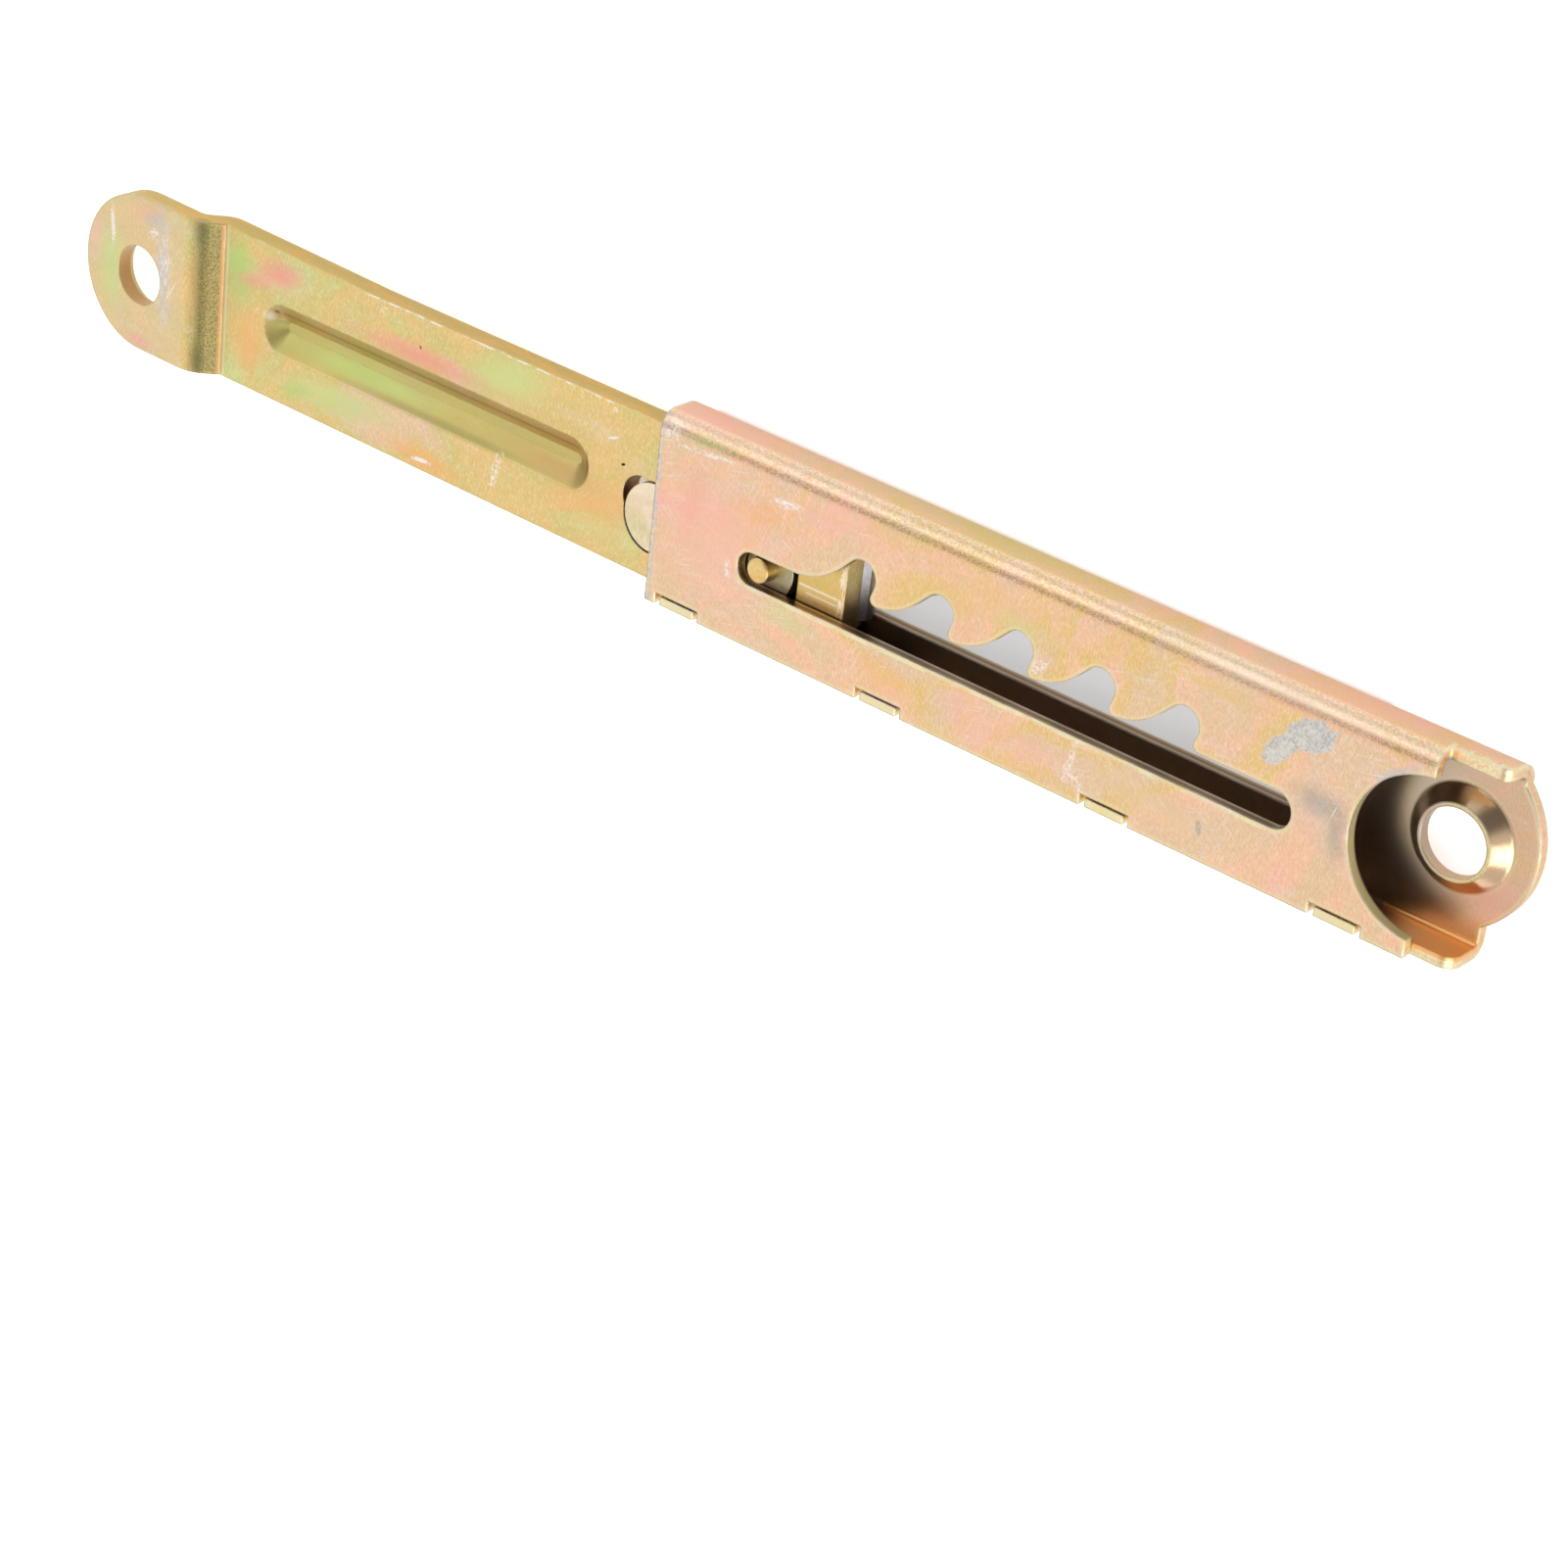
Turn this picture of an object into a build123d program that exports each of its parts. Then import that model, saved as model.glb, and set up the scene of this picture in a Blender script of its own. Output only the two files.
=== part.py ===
from build123d import *
import os
from math import acos, asin, atan2, cos, hypot, radians, sin, sqrt, tan

os.makedirs("parts", exist_ok=True)

# The slide lies on its back plate. X runs along it, from the sheath's mounting hole
# towards the arm's ear, Y runs across it towards the tabbed seam, and Z points up,
# out of the front plate. Heights are measured from the back plane while a piece is made,
# and each finished piece is lowered, so the origin is the middle of the mounting hole.

# Folded sheath
sheet_t = 1.5
sheath_h = 8.0
sheath_w = 25.5
sheath_mid_y = 0.75
mouth_x = 114.4
front_corner_r = 2.4
back_corner_r = 3.0
seam_corner_r = 2.0
seam_gap = 0.12

# Rounded end of the back plate, and the bite out of the front plate
end_r = 12.2
end_mid_x = 2.6
end_mid_y = -0.5
bite_r = 10.05
bite_mid_x = 0.55
bite_mid_y = 1.15

# Side walls beyond the front plate: a low lip on the toothed side, a lug on the seam side
lip_start_x = 1.4
lip_end_x = -6.2
lip_z = 5.45
lip_corner_r = 1.5
lug_start_x = 1.0
lug_end_x = -4.35
lug_corner_r = 2.0

# Raised boss round the mounting hole
mount_hole_r = 4.2
boss_rise = 2.0
boss_foot_r = 6.5
boss_top_r = 4.65
boss_under_r = 6.1
boss_foot_fillet = 0.6

# Sawtooth slot, the same in both plates
slot_low_y = 5.45
slot_pin_gap = 1.0
slot_left_w = 4.4
slot_right_x = 20.45
slot_right_w = 4.9
notch_count = 5
notch_pitch = 11.87
notch_first_back = 16.75
notch_r = 2.2
notch_mid_y = -2.2
ramp_deg = 45.0
ramp_len = 2.7
tooth_tip_y = 0.75
tooth_tip_r = 0.85
tooth_tip_back = 2.55

# Tabs along the seam
tab_xs = [109.2, 76.6, 42.5, 10.3]
tab_w = 5.5
tab_t = 1.1
tab_sink = 0.1
tab_notch_w = 7.1

# Flat bar of the arm, with a step up to its ear
arm_t = 3.0
arm_w = 21.3
arm_mid_y = 1.15
arm_z = 3.2
arm_end_x = 84.6
arm_len = 122.85
arm_end_chamfer = 1.5
bridge_w = 7.4
ear_rise = 3.0
ear_step_deg = 45.0
ear_crease_back = 13.05
ear_bend_r = 2.0
ear_flare_back = 41.45
ear_r = 10.95
ear_mid_y = 0.45
ear_hole_aside = (0.45, 0.35)
ear_hole_r = 4.15
ear_break_depth = 0.9
ear_break_w = 0.45

# Stiffening groove pressed down into the arm, with a lower ridge under it
groove_head_gap = 11.1
groove_ear_gap = 21.05
groove_w = 7.2
groove_depth = 1.85
groove_rim_r = 1.6
ridge_w = 7.0
ridge_depth = 1.3
groove_taper_deg = 57.5

# Pawl, hinged by its round head in the arm's socket
head_in = 31.3
head_y = 3.55
head_r = 4.6
joint_gap = 0.3
nick_r = 3.1
nick_reach = 5.87
nick_deg = -41.0
pocket_corner_r = 0.9
neck_w = 5.0
neck_len = 7.0
pawl_end_r = 4.2
swing_up_deg = 16.0
swing_down_deg = 2.5

# Latch pin, pressed through the pawl's inner end
pin_in = 12.4
pin_y = 3.0
pin_r = 1.7
pin_low_z = 0.3
pin_top_z = 8.1
pin_round = 0.35

# Friction spring under the arm's bridge
leaf_t = 0.5
leaf_w = 12.0
leaf_mid_y = 2.2
leaf_nose_out = 1.4
leaf_nose_w = 8.8
leaf_nose_len = 1.6
leaf_nose_mid_y = 2.1
leaf_tongue_gap = 0.3
leaf_pin_gap = 0.6
leaf_lift = 0.12
leaf_corner_r = 1.2

# Radii this close are the same circle
same_r = 0.01

seam_y = sheath_mid_y + sheath_w / 2
front_z = sheath_h - sheet_t
wall_top_z = front_z - seam_gap
pin_x = arm_end_x + pin_in
head_x = arm_end_x + head_in
ear_mid_x = arm_end_x + arm_len
ear_crease_x = ear_mid_x - ear_crease_back
slot_left_x = pin_x + slot_pin_gap
notch_first_x = slot_left_x - notch_first_back
notch_xs = [notch_first_x - k * notch_pitch for k in range(notch_count)]
to_hole = Location((0, 0, -boss_rise - sheet_t / 2))

# Where the straight flank of a tooth touches its notch and its rounded tip
ramp = radians(ramp_deg)
ramp_way = (cos(ramp), sin(ramp))
channel_top_y = slot_low_y - slot_left_w
right_top_y = slot_low_y - slot_right_w


def flank_angle(tip_y):
    """Lean of a tooth's steep flank, tangent to the notch and to the tip."""
    rise = tip_y - tooth_tip_r - notch_mid_y
    return atan2(rise, tooth_tip_back) - acos((notch_r + tooth_tip_r) / hypot(tooth_tip_back, rise))


def around(x, y, r, angle):
    """Point at an angle on a circle."""
    return (x + r * cos(angle), y + r * sin(angle))


# Sheath: one sheet folded into a flat sleeve, its seam closed by four tabs
with BuildPart() as sheath:
    with BuildSketch(Plane.YZ.offset(lip_end_x)) as fold:
        with Locations((sheath_mid_y, sheath_h / 2)):
            Rectangle(sheath_w, sheath_h)
        fillet(fold.vertices().group_by(Axis.Y)[0].sort_by(Axis.X)[0], back_corner_r)
        fillet(fold.vertices().group_by(Axis.Y)[-1].sort_by(Axis.X)[0], front_corner_r)
        fillet(fold.vertices().group_by(Axis.X)[-1].sort_by(Axis.Y)[0], seam_corner_r)
    extrude(amount=mouth_x - lip_end_x)
    with BuildSketch(Plane.YZ.offset(lip_end_x)) as hollow:
        with Locations((sheath_mid_y, sheath_h / 2)):
            Rectangle(sheath_w - 2 * sheet_t, sheath_h - 2 * sheet_t)
        fillet(hollow.vertices().group_by(Axis.Y)[0].sort_by(Axis.X)[0], back_corner_r - sheet_t)
        fillet(hollow.vertices().group_by(Axis.Y)[-1].sort_by(Axis.X)[0], front_corner_r - sheet_t)
        fillet(hollow.vertices().group_by(Axis.X)[-1].sort_by(Axis.Y)[0], seam_corner_r - sheet_t)
        with Locations((seam_y - sheet_t / 2, front_z - seam_gap / 2)):
            Rectangle(2 * sheet_t, seam_gap)
    extrude(amount=mouth_x - lip_end_x, mode=Mode.SUBTRACT)

    # Front plate cut short, its side walls left as a lip and a lug
    for side_y, start_x, end_x, top_z, corner_r in (
        (sheath_mid_y, lip_start_x, lip_end_x, lip_z, lip_corner_r),
        (seam_y, lug_start_x, lug_end_x, wall_top_z, lug_corner_r),
    ):
        with BuildSketch(Plane.XZ.offset(-side_y)) as beyond:
            with BuildLine():
                Polyline(
                    (start_x, sheath_w),
                    (start_x, top_z),
                    (end_x, top_z),
                    (end_x, -sheath_w),
                    (end_x - sheath_w, -sheath_w),
                    (end_x - sheath_w, sheath_w),
                    close=True,
                )
            make_face()
            fillet(beyond.vertices().group_by(Axis.X)[1].sort_by(Axis.Y)[-1], corner_r)
        extrude(amount=sheath_w / 2, mode=Mode.SUBTRACT)

    # Round bite that bares the mounting hole
    with BuildSketch(Plane.XY.offset(wall_top_z)):
        with Locations((bite_mid_x, bite_mid_y)):
            Circle(bite_r)
    extrude(amount=sheath_h, mode=Mode.SUBTRACT)

    # Rounded end of the back plate
    lip_half = sqrt(end_r**2 - (lip_end_x - end_mid_x) ** 2)
    lug_half = sqrt(end_r**2 - (lug_end_x - end_mid_x) ** 2)
    with BuildSketch():
        with BuildLine():
            ThreePointArc(
                (lip_end_x, end_mid_y - lip_half),
                (end_mid_x - end_r, end_mid_y),
                (lug_end_x, end_mid_y + lug_half),
            )
            Polyline(
                (lug_end_x, end_mid_y + lug_half),
                (end_mid_x, end_mid_y + lug_half),
                (end_mid_x, end_mid_y - lip_half),
                (lip_end_x, end_mid_y - lip_half),
            )
        make_face()
    extrude(amount=sheet_t)

    # Raised boss, hollow underneath, with the mounting hole through its top
    with BuildSketch():
        Circle(boss_foot_r)
    extrude(amount=sheet_t, mode=Mode.SUBTRACT)
    with BuildSketch(Plane.XZ):
        with BuildLine():
            Polyline(
                (boss_foot_r, 0),
                (boss_foot_r, sheet_t),
                (boss_top_r, sheet_t + boss_rise),
                (mount_hole_r, sheet_t + boss_rise),
                (mount_hole_r, boss_rise),
                (boss_under_r, 0),
                close=True,
            )
        make_face()
    revolve(axis=Axis.Z)
    foot = sheath.edges().filter_by(GeomType.CIRCLE).filter_by(lambda e: abs(e.radius - boss_foot_r) < same_r)
    fillet(foot.sort_by(Axis.Z)[-1], boss_foot_fillet)

    # Sawtooth slot through both plates
    with BuildSketch():
        with BuildLine():
            here = (slot_left_x, channel_top_y)
            for k, x in enumerate(notch_xs):
                last = k == notch_count - 1
                ramp_top = around(x, notch_mid_y, notch_r, ramp - radians(90))
                ramp_foot = (ramp_top[0] + ramp_len * ramp_way[0], ramp_top[1] + ramp_len * ramp_way[1])
                if k == 0:
                    run = (channel_top_y - ramp_foot[1]) / tan(ramp / 2)
                    Line(here, (ramp_foot[0] + run, channel_top_y))
                    here = (ramp_foot[0] + run, channel_top_y)
                TangentArc(ramp_foot, here, tangent=ramp_way)
                Line(ramp_foot, ramp_top)
                tip_y = right_top_y if last else tooth_tip_y
                lean = flank_angle(tip_y)
                notch_end = around(x, notch_mid_y, notch_r, radians(180) - lean)
                ThreePointArc(ramp_top, (x, notch_mid_y - notch_r), notch_end)
                tip_x = x - tooth_tip_back
                tip_in = around(tip_x, tip_y - tooth_tip_r, tooth_tip_r, -lean)
                Line(notch_end, tip_in)
                here = (tip_x, tip_y)
                ThreePointArc(tip_in, around(tip_x, tip_y - tooth_tip_r, tooth_tip_r, ramp - lean / 2), here)
            Line(here, (slot_right_x, right_top_y))
            ThreePointArc(
                (slot_right_x, right_top_y),
                (slot_right_x - slot_right_w / 2, slot_low_y - slot_right_w / 2),
                (slot_right_x, slot_low_y),
            )
            Line((slot_right_x, slot_low_y), (slot_left_x, slot_low_y))
            ThreePointArc(
                (slot_left_x, slot_low_y),
                (slot_left_x + slot_left_w / 2, slot_low_y - slot_left_w / 2),
                (slot_left_x, channel_top_y),
            )
        make_face()
    extrude(amount=sheath_h, mode=Mode.SUBTRACT)

    # Notches in the front plate's edge, and the seam wall's tabs standing in them
    with BuildSketch(Plane.XY.offset(front_z)):
        with Locations([(x, seam_y) for x in tab_xs]):
            Rectangle(tab_notch_w, 2 * sheet_t)
    extrude(amount=sheet_t, mode=Mode.SUBTRACT)
    with BuildSketch(Plane.XY.offset(wall_top_z)):
        with Locations([(x, seam_y - tab_t / 2) for x in tab_xs]):
            Rectangle(tab_w, tab_t)
    extrude(amount=sheath_h - tab_sink - wall_top_z)

sheath.part.label = "sheath"
sheath.part.move(to_hole)
export_step(sheath.part, "parts/sheath.step")


# Way from the head to the pin, and the way square to it
pawl_len = hypot(head_x - pin_x, head_y - pin_y)
to_pin = ((pin_x - head_x) / pawl_len, (pin_y - head_y) / pawl_len)
aside = (-to_pin[1], to_pin[0])


def beside(length, half):
    """Point along the pawl, a half width to one side of its middle line."""
    return (
        head_x + length * to_pin[0] + half * aside[0],
        head_y + length * to_pin[1] + half * aside[1],
    )


# Arm: a flat bar with its pawl's pocket, a groove, and a raised ear
ear_end_x = ear_mid_x + ear_r
arm_top_z = arm_z + arm_t
ear_step_run = ear_rise / tan(radians(ear_step_deg))
bend_shift = arm_t * tan(radians(ear_step_deg / 2))
socket_r = head_r + joint_gap
pocket_end_x = arm_end_x + bridge_w
pocket_top_y = pin_y - pawl_len * sin(radians(swing_up_deg)) - pawl_end_r - joint_gap
pocket_low_y = pin_y + pawl_len * sin(radians(swing_down_deg)) + pawl_end_r + joint_gap
mouth_angle = asin((neck_w / 2 + joint_gap) / socket_r)
pocket_wide_x = pin_x + pawl_end_r / 2

with BuildPart() as arm:
    with BuildSketch(Plane.XZ) as side:
        with BuildLine():
            Polyline(
                (arm_end_x, arm_z),
                (ear_crease_x + bend_shift, arm_z),
                (ear_crease_x + ear_step_run + bend_shift, arm_z + ear_rise),
                (ear_end_x, arm_z + ear_rise),
                (ear_end_x, arm_top_z + ear_rise),
                (ear_crease_x + ear_step_run, arm_top_z + ear_rise),
                (ear_crease_x, arm_top_z),
                (arm_end_x, arm_top_z),
                close=True,
            )
        make_face()
        for corner, bend_r in (
            ((ear_crease_x + ear_step_run, arm_top_z + ear_rise), ear_bend_r + arm_t),
            ((ear_crease_x + ear_step_run + bend_shift, arm_z + ear_rise), ear_bend_r),
            ((ear_crease_x + bend_shift, arm_z), arm_t),
        ):
            fillet(side.vertices().sort_by_distance(corner)[0], bend_r)
    extrude(amount=sheath_w, both=True)
    with BuildSketch() as plan:
        with BuildLine():
            Polyline(
                (arm_end_x, arm_mid_y - arm_w / 2),
                (ear_mid_x - ear_flare_back, arm_mid_y - arm_w / 2),
                (ear_mid_x, ear_mid_y - ear_r),
                (ear_mid_x, ear_mid_y + ear_r),
                (arm_end_x, arm_mid_y + arm_w / 2),
                close=True,
            )
        make_face()
        chamfer(plan.vertices().group_by(Axis.X)[0], arm_end_chamfer)
        with Locations((ear_mid_x, ear_mid_y)):
            Circle(ear_r)
        with Locations((ear_mid_x + ear_hole_aside[0], ear_mid_y + ear_hole_aside[1])):
            Circle(ear_hole_r, mode=Mode.SUBTRACT)
        with Locations((head_x, head_y)):
            Circle(socket_r, mode=Mode.SUBTRACT)
        with Locations(around(head_x, head_y, nick_reach - nick_r, radians(nick_deg))):
            Circle(nick_r, mode=Mode.SUBTRACT)
    extrude(amount=2 * sheath_h, mode=Mode.INTERSECT)
    ear_rims = arm.edges().filter_by(GeomType.CIRCLE).filter_by(lambda e: abs(e.radius - ear_hole_r) < same_r)
    chamfer(ear_rims.sort_by(Axis.Z)[0], ear_break_depth, ear_break_w)
    with BuildSketch(Plane.XY.offset(arm_z)) as pocket:
        with BuildLine():
            Polyline(
                (pocket_end_x, pocket_top_y),
                (pocket_wide_x, pocket_top_y),
                around(head_x, head_y, socket_r, radians(180 + swing_up_deg) + mouth_angle),
                (head_x, head_y),
                around(head_x, head_y, socket_r, radians(180 - swing_down_deg) - mouth_angle),
                (pocket_wide_x + pawl_end_r, pocket_low_y),
                (pocket_end_x, pocket_low_y),
                close=True,
            )
        make_face()
        fillet(pocket.vertices().group_by(Axis.X)[0], pocket_corner_r)
    extrude(amount=arm_t, mode=Mode.SUBTRACT)

    # Groove: a ridge pressed out below, and its trough sunk from above
    groove_start_x = head_x + groove_head_gap
    groove_end_x = ear_mid_x - groove_ear_gap
    for face_z, across, depth, how in (
        (arm_z, ridge_w, ridge_depth, Mode.ADD),
        (arm_top_z, groove_w, groove_depth, Mode.SUBTRACT),
    ):
        with BuildSketch(Plane.XY.offset(face_z)):
            with Locations(((groove_start_x + groove_end_x) / 2, arm_mid_y)):
                SlotOverall(groove_end_x - groove_start_x, across)
        extrude(amount=-depth, taper=groove_taper_deg, mode=how)
    bar_top = arm.faces().sort_by(lambda f: abs(f.center().Z - arm_top_z) - f.area)[0]
    fillet(bar_top.inner_wires().sort_by(Axis.X)[-1].edges(), groove_rim_r)

arm.part.label = "arm"
arm.part.move(to_hole)
export_step(arm.part, "parts/arm.step")


# Pawl: round head, narrow neck, and a rounded inner end bored for the pin
with BuildPart() as pawl:
    with BuildSketch(Plane.XY.offset(arm_z)):
        with BuildLine():
            Polyline(
                beside(0, neck_w / 2),
                beside(neck_len, neck_w / 2),
                beside(pawl_len, pawl_end_r),
                beside(pawl_len, -pawl_end_r),
                beside(neck_len, -neck_w / 2),
                beside(0, -neck_w / 2),
                close=True,
            )
        make_face()
        with Locations((head_x, head_y)):
            Circle(head_r)
        with Locations((pin_x, pin_y)):
            Circle(pawl_end_r)
            Circle(pin_r, mode=Mode.SUBTRACT)
    extrude(amount=arm_t)

pawl.part.label = "pawl"
pawl.part.move(to_hole)
export_step(pawl.part, "parts/pawl.step")


# Latch pin, reaching through the slots of both plates
with BuildPart() as latch_pin:
    with BuildSketch(Plane.XY.offset(pin_low_z)):
        with Locations((pin_x, pin_y)):
            Circle(pin_r)
    extrude(amount=pin_top_z - pin_low_z)
    fillet(latch_pin.edges().filter_by(GeomType.CIRCLE).sort_by(Axis.Z)[-1], pin_round)

latch_pin.part.label = "latch_pin"
latch_pin.part.move(to_hole)
export_step(latch_pin.part, "parts/latch_pin.step")


# Friction spring: a leaf under the bridge, its nose bent down to ride on the back plate
leaf_top_z = arm_z
leaf_low_z = sheet_t + leaf_lift
leaf_nose_x = arm_end_x - leaf_nose_out
nose_drop = leaf_top_z - leaf_t - leaf_low_z
tongue_end_x = pin_x - pin_r - leaf_pin_gap
with BuildPart() as friction_spring:
    with BuildSketch(Plane.XZ.offset(-leaf_mid_y - leaf_w / 2)):
        with BuildLine() as strip:
            Polyline(
                (leaf_nose_x, leaf_low_z + leaf_t / 2),
                (leaf_nose_x + 2 * leaf_t, leaf_low_z + leaf_t / 2),
                (leaf_nose_x + 2 * leaf_t + nose_drop, leaf_top_z - leaf_t / 2),
                (pocket_end_x - leaf_t, leaf_top_z - leaf_t / 2),
                (pocket_end_x, leaf_top_z - leaf_tongue_gap - leaf_t / 2),
                (tongue_end_x, leaf_top_z - leaf_tongue_gap - leaf_t / 2),
            )
        trace(line_width=leaf_t)
    extrude(amount=leaf_w)
    with BuildSketch() as leaf_plan:
        leaf_wide_x = leaf_nose_x + leaf_nose_len
        with Locations(((leaf_wide_x + tongue_end_x) / 2, leaf_mid_y)):
            RectangleRounded(tongue_end_x - leaf_wide_x, leaf_w, leaf_corner_r)
        with Locations(((leaf_nose_x + arm_end_x + bridge_w / 2) / 2, leaf_nose_mid_y)):
            RectangleRounded(arm_end_x + bridge_w / 2 - leaf_nose_x, leaf_nose_w, leaf_corner_r)
    extrude(amount=sheath_h, mode=Mode.INTERSECT)

friction_spring.part.label = "friction_spring"
friction_spring.part.move(to_hole)
export_step(friction_spring.part, "parts/friction_spring.step")

for piece in (sheath, arm, pawl, latch_pin, friction_spring):
    print(piece.part.label, len(piece.part.solids()), round(piece.part.volume, 1))
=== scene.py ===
"""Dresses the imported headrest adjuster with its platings, wear, floor, light and camera."""

import logging
import math
from dataclasses import dataclass
from enum import Enum
from typing import Any, Optional, Union

import bmesh
import bpy
from mathutils import Matrix, Vector


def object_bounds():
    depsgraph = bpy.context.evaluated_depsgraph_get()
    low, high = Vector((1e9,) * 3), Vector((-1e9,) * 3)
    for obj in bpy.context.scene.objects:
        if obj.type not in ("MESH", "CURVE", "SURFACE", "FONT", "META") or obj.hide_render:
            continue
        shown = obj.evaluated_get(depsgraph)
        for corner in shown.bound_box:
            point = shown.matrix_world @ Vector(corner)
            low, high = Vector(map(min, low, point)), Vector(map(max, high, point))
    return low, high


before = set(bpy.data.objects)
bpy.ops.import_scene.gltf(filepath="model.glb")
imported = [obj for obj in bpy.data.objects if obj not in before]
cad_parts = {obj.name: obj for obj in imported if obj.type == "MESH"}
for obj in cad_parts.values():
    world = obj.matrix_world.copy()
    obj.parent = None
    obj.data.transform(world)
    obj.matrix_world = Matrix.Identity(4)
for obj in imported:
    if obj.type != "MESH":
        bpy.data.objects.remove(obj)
CAD_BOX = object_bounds()
LOG = logging.getLogger("headrest_adjuster")

MM = 0.001

# The back plate's outer face, which the object lies on; patterns count heights from it
BACK_Z = CAD_BOX[0][2]

Pair = tuple[float, float]
Triple = tuple[float, float, float]
Socket = bpy.types.NodeSocket

SMOOTH = {"interpolation_type": "SMOOTHSTEP"}

# Every noise: how rough it is, and how far its seed shifts it along each direction
NOISE_ROUGHNESS = 0.55
SEED_STEPS: Triple = (1.0, 1.7, 0.6)

# A blot's torn edge: the tears' size as a share of the blot's shorter reach
TEAR_SHARE = 0.6

# Rubbed patches along edges: the noise levels at which none and all is rubbed, and their softness
PATCH_NONE, PATCH_ALL, PATCH_SOFT = 0.62, 0.38, 0.12
PATCH_SEED = 5.0

# Scratches: the noise level of the rarest, what a full share takes off it, their softness, and
# the levels between which they crowd together
SCRATCH_RARE, SCRATCH_SPAN, SCRATCH_SOFT = 0.74, 0.1, 0.04
CROWD_LEVELS: Pair = (0.48, 0.6)
CROWD_SEED = 40.0

# A film's own speckle
SPECKLE_LEVELS: Pair = (0.42, 0.58)
SPECKLE_SEED = 23.0

# The chromate film: the noise levels of its clouds, pale streaks, dull specks and glints, how
# strong each gets, and how far the streaks turn its roughness down and up
CLOUD_LEVELS: Pair = (0.32, 0.68)
STREAK_LEVELS: Pair = (0.5, 0.85)
STREAK_STRENGTH = 0.4
STREAK_SHARE = 0.18
STREAK_SEED = 9.0
SPECK_LEVELS: Pair = (0.3, 0.5)
SPECK_STRENGTH = 0.2
GLINT_LEVELS: Pair = (0.54, 0.7)
GLINT_STRENGTH = 0.45
GRAIN_SEED = 3.0
SHEEN_LEVELS: Pair = (0.3, 0.7)
SHEEN_SPREAD: Pair = (-0.05, 0.06)


class Tone(Enum):
    """Colours of the platings, films and bare metal, as sRGB hex."""

    SALMON = "F4C4A1"
    PINK = "F8BEA8"
    ROSE = "F0A494"
    TAN = "E8C6A0"
    GOLD = "E9C581"
    YELLOW = "DAC87E"
    LEAF = "D0D892"
    GREEN = "B9D27A"
    STRAW = "F0E8B4"
    CREAM = "F6E6CC"
    ORANGE = "F2B677"
    AMBER = "DDB158"
    COPPER = "B98A62"
    UMBER = "74503C"
    DUN = "BEAE9E"
    OLIVE = "C0B36A"
    MOSS = "74754C"
    TAUPE = "A58D78"
    ZINC = "D6D2CB"
    LEAD = "9C9996"
    WHITE = "F7F3EE"
    LILAC = "C6C2C6"
    SOOT = "30251C"


class Faces(Enum):
    """Which faces take a film, a painted shade or a painted highlight, by the upward part of their
    normal.

    Each names where the film begins, is whole, is still whole and has ended.
    """

    ANY = (-1.0, -0.9, 1.1, 1.2)
    WALL = (-1.0, -0.9, 0.35, 0.5)
    BEND = (0.1, 0.3, 0.80, 0.93)
    SHOULDER = (0.78, 0.90, 0.975, 0.997)


def linear(tone: str, alpha: float = 1.0) -> tuple[float, float, float, float]:
    """Turn an sRGB hex colour to linear values.

    Args:
        tone: six hex digits.
        alpha: the fourth channel.

    Returns:
        Red, green, blue and alpha.
    """
    parts = [int(tone[i:i + 2], 16) / 255 for i in (0, 2, 4)]
    red, green, blue = (c / 12.92 if c <= 0.04045 else ((c + 0.055) / 1.055) ** 2.4 for c in parts)
    return (red, green, blue, alpha)


def add_node(
    tree: bpy.types.NodeTree, kind: str, settings: dict[str, Any], links: dict[Any, Any]
) -> bpy.types.Node:
    """Add a node with its settings and links.

    Args:
        tree: the node tree that gets it.
        kind: the node's type name.
        settings: attributes of the node.
        links: socket name or index to another node's socket, or to a plain value.

    Returns:
        The new node.
    """
    node = tree.nodes.new(kind)
    for key, value in settings.items():
        setattr(node, key, value)
    for key, value in links.items():
        socket = node.inputs[key]
        if isinstance(value, bpy.types.NodeSocket):
            tree.links.new(value, socket)
        else:
            socket.default_value = value
    return node


class Canvas:
    """An empty material with its coordinates in millimetres, heights from the back plane."""

    def __init__(self, name: str) -> None:
        """Start the material.

        Args:
            name: the material's name.
        """
        self.material = bpy.data.materials.new(name)
        self.material.use_nodes = True
        self.tree = self.material.node_tree
        self.tree.nodes.clear()
        coords = add_node(self.tree, "ShaderNodeTexCoord", {}, {})
        self.point = add_node(
            self.tree, "ShaderNodeVectorMath", {"operation": "MULTIPLY_ADD"},
            {0: coords.outputs["Object"], 1: (1 / MM,) * 3, 2: (0.0, 0.0, -BACK_Z / MM)},
        ).outputs[0]
        self.normal = add_node(self.tree, "ShaderNodeNewGeometry", {}, {}).outputs["Normal"]

    def mottle(
        self, size_mm: float, seed: float, stretch: Triple = (1.0, 1.0, 1.0),
        detail: float = 3.0, turn_deg: float = 0.0, curl: float = 0.0,
    ) -> Socket:
        """Give an uneven pattern from 0 to 1.

        Args:
            size_mm: the size of its patches.
            seed: a shift that makes it another pattern.
            stretch: how much longer they are along each direction.
            detail: levels of finer pattern.
            turn_deg: how far it is turned about Z.
            curl: how much it curls.

        Returns:
            The pattern's socket.
        """
        place = add_node(
            self.tree, "ShaderNodeMapping", {"vector_type": "TEXTURE"},
            {"Vector": self.point, "Location": tuple(seed * step for step in SEED_STEPS),
             "Rotation": (0.0, 0.0, math.radians(turn_deg)), "Scale": stretch},
        )
        return add_node(
            self.tree, "ShaderNodeTexNoise", {},
            {"Vector": place.outputs[0], "Scale": 1 / size_mm, "Detail": detail,
             "Roughness": NOISE_ROUGHNESS, "Distortion": curl},
        ).outputs[0]


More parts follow.
